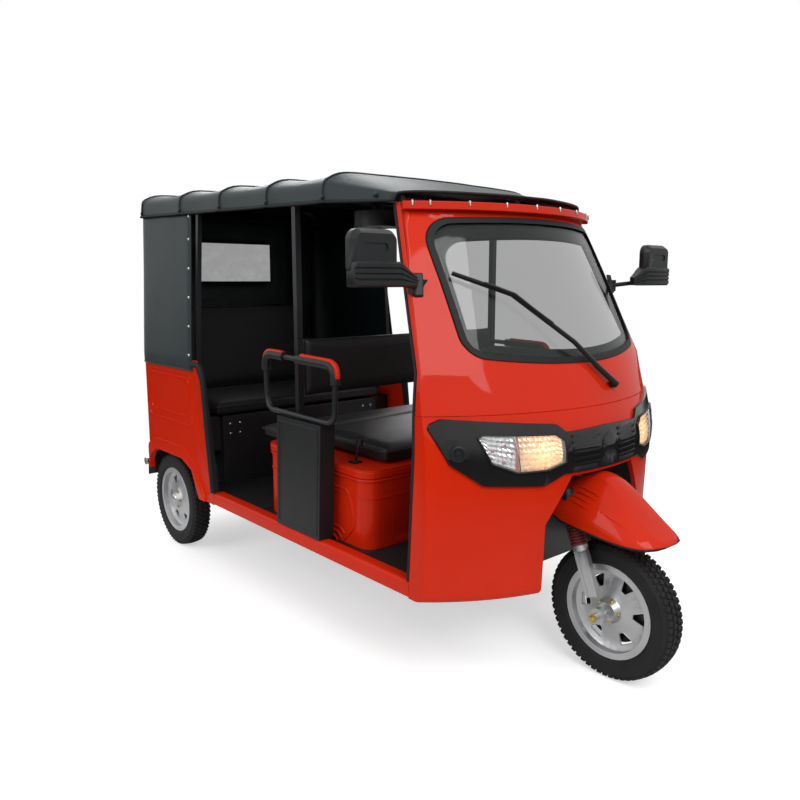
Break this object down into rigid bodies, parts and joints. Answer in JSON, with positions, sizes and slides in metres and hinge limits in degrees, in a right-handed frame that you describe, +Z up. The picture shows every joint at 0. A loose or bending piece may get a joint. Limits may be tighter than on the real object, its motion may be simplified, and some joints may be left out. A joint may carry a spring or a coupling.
{
  "type": "auto rickshaw",
  "caption": "Three-wheeled passenger auto rickshaw with an open body, fabric canopy, bench seats, steered front wheel and freely turning wheels.",
  "frame": {"origin": "on the ground, in the centre of the bounding box seen from above", "axes": "+X forwards, +Y to the left, +Z up"},
  "size_m": [3.0749, 1.778, 1.884],
  "materials": {
    "body_paint": "gloss",
    "black_plastic": "satin",
    "black_rubber": "matte",
    "windscreen": "gloss",
    "clear_lens": "gloss",
    "black_metal": "satin",
    "engine_metal": "matte",
    "bright_steel": "polished",
    "red_lens": "gloss",
    "seat_vinyl": "satin",
    "canopy_vinyl": "satin",
    "clear_film": "gloss",
    "fan_plastic": "gloss",
    "tyre_rubber": "matte",
    "rim_silver": "satin"
  },
  "bodies": {
    "body": {"front_cowl_lower": "body_paint", "front_cowl_upper": "body_paint", "windscreen_gasket": "black_rubber", "windscreen_glass": "windscreen", "lamp_panel": "black_plastic", "headlamps": "clear_lens", "front_wheel_well": "black_plastic", "rear_side_right": "body_paint", "rear_side_left": "body_paint", "rear_panel": "body_paint", "edge_trims": "black_rubber", "side_sills": "body_paint", "floor_pan": "black_metal", "floor_mats": "black_rubber", "chassis_frame": "black_metal", "engine_block": "engine_metal", "rear_axle": "black_metal", "leaf_springs": "black_metal", "rear_bumper": "bright_steel", "tail_lamps": "red_lens", "bench_base": "black_metal", "bench_cushion": "seat_vinyl", "bench_backrest": "seat_vinyl", "driver_seat_box": "body_paint", "driver_cushion": "seat_vinyl", "rear_facing_cushion": "seat_vinyl", "side_partitions": "black_plastic", "mid_backrest": "seat_vinyl", "grab_rails": "black_metal", "roof_frame": "black_metal", "canopy_cover": "canopy_vinyl", "side_curtains": "canopy_vinyl", "rear_curtain": "canopy_vinyl", "rear_window_film": "clear_film", "mirrors": "black_plastic", "wiper": "black_metal", "dashboard": "black_plastic", "gear_lever": "black_plastic", "brake_pedal": "black_metal", "ceiling_fan": "black_plastic", "steering_head": "black_metal"},
    "steering": {"fork": "black_metal", "fork_boots": "black_rubber", "front_axle": "bright_steel", "front_fender": "body_paint", "handlebar": "black_metal"},
    "front_wheel": {"front_tyre": "tyre_rubber", "front_rim": "rim_silver"},
    "rear_wheel_right": {"rear_tyre_right": "tyre_rubber", "rear_rim_right": "rim_silver"},
    "rear_wheel_left": {"rear_tyre_left": "tyre_rubber", "rear_rim_left": "rim_silver"},
    "fan_rotor": {"fan_blades": "fan_plastic"}
  },
  "joints": [
    {"name": "steering_pivot", "type": "hinge", "parent": "body", "child": "steering", "pos_m": [1.0698, 0, 0.7], "axis": [-0.3584, 0, 0.9336], "range_deg": [-35, 35]},
    {"name": "front_wheel_spin", "type": "hinge", "parent": "steering", "child": "front_wheel", "pos_m": [1.285, 0, 0.251], "axis": [0, 1, 0], "continuous": true},
    {"name": "rear_wheel_right_spin", "type": "hinge", "parent": "body", "child": "rear_wheel_right", "pos_m": [-1.05, -0.57, 0.251], "axis": [0, 1, 0], "continuous": true},
    {"name": "rear_wheel_left_spin", "type": "hinge", "parent": "body", "child": "rear_wheel_left", "pos_m": [-1.05, 0.57, 0.251], "axis": [0, 1, 0], "continuous": true},
    {"name": "fan_spin", "type": "hinge", "parent": "body", "child": "fan_rotor", "pos_m": [0.355, -0.33, 1.645], "axis": [0, 0, 1], "continuous": true}
  ]
}
